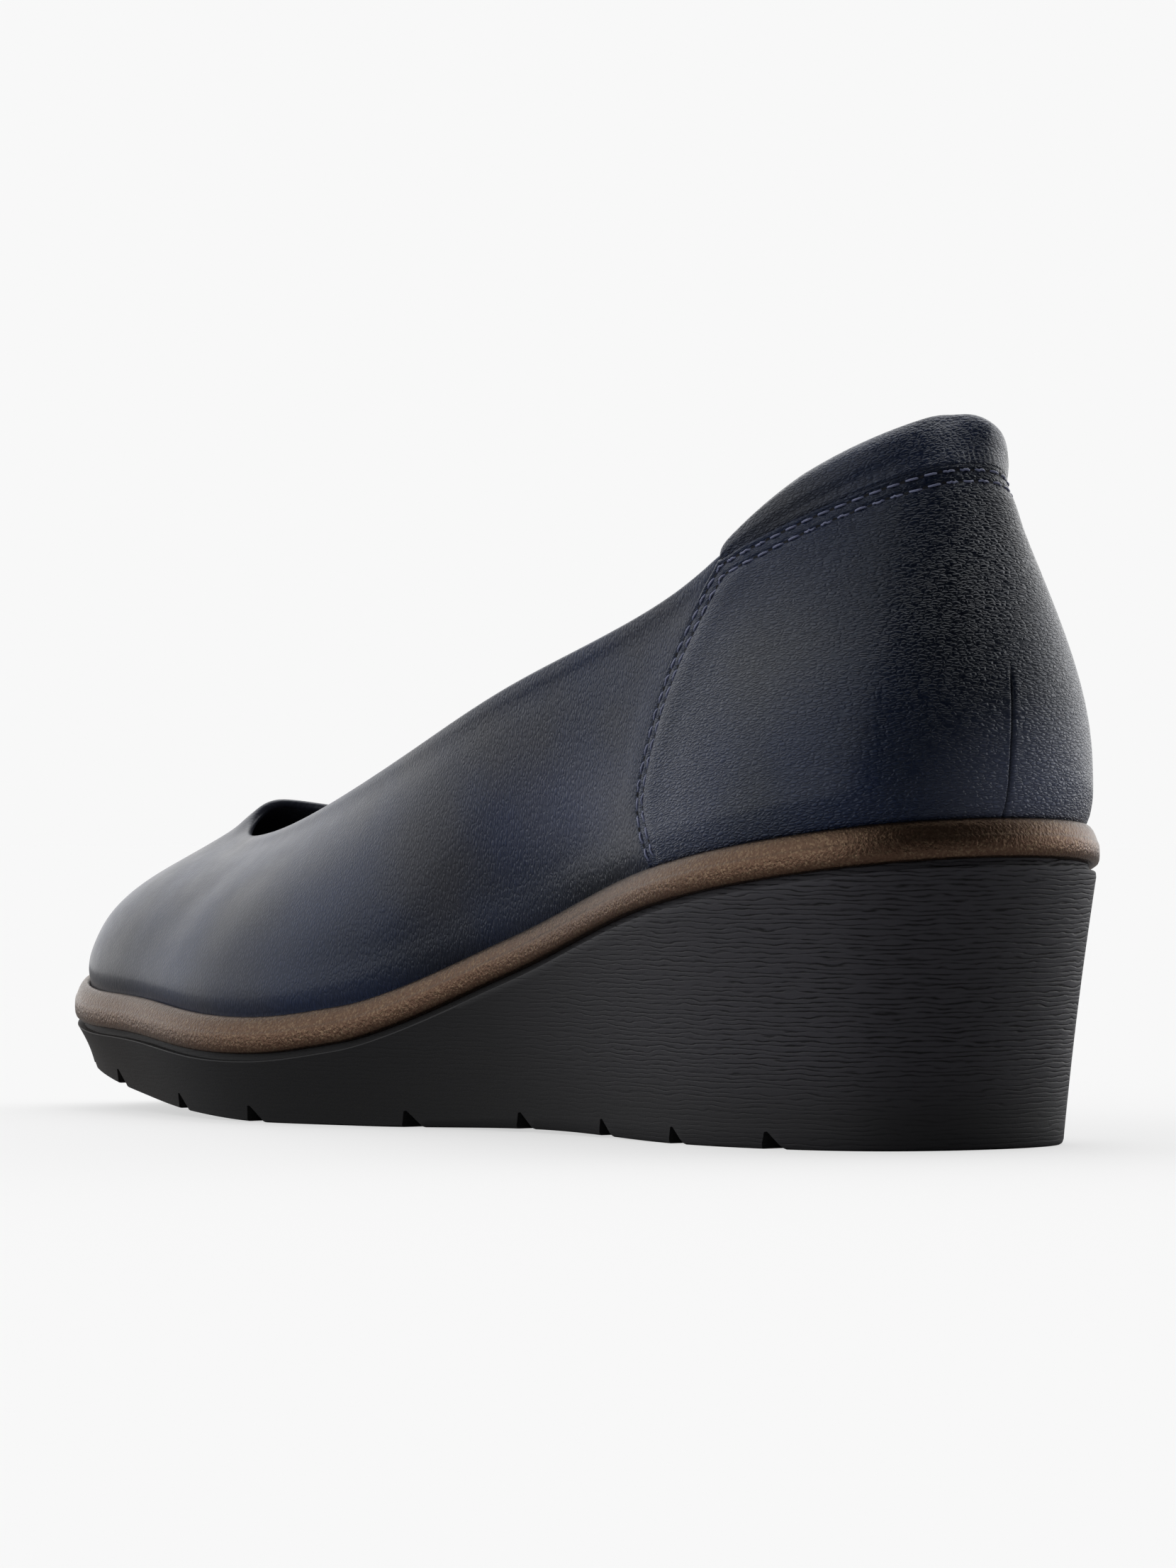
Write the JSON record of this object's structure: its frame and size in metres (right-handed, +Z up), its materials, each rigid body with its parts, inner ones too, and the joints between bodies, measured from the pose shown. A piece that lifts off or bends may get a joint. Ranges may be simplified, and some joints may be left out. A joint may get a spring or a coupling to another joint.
{
  "type": "wedge pump shoe",
  "caption": "Women's low-cut wedge pump: rounded toe, open throat, padded heel collar, sewn heel panel, contrast rand and a moulded wedge sole with cross notches.",
  "frame": {"origin": "centre of the object's box in plan, on the floor the tread rests on", "axes": "+Y from heel to toe, +X to the shoe's right, +Z up"},
  "size_m": [0.0872, 0.2516, 0.1181],
  "materials": {
    "wedge_sole": "matte, finely ribbed",
    "rand": "bronze coat, satin",
    "insole": "matte",
    "upper": "smooth, satin",
    "heel_panel": "pebbled, satin",
    "collar_pad": "pebbled, satin"
  },
  "bodies": {
    "root": {"wedge_sole": "wedge_sole", "rand": "rand", "insole": "insole", "upper": "upper", "heel_panel": "heel_panel", "collar_pad": "collar_pad"}
  },
  "joints": []
}
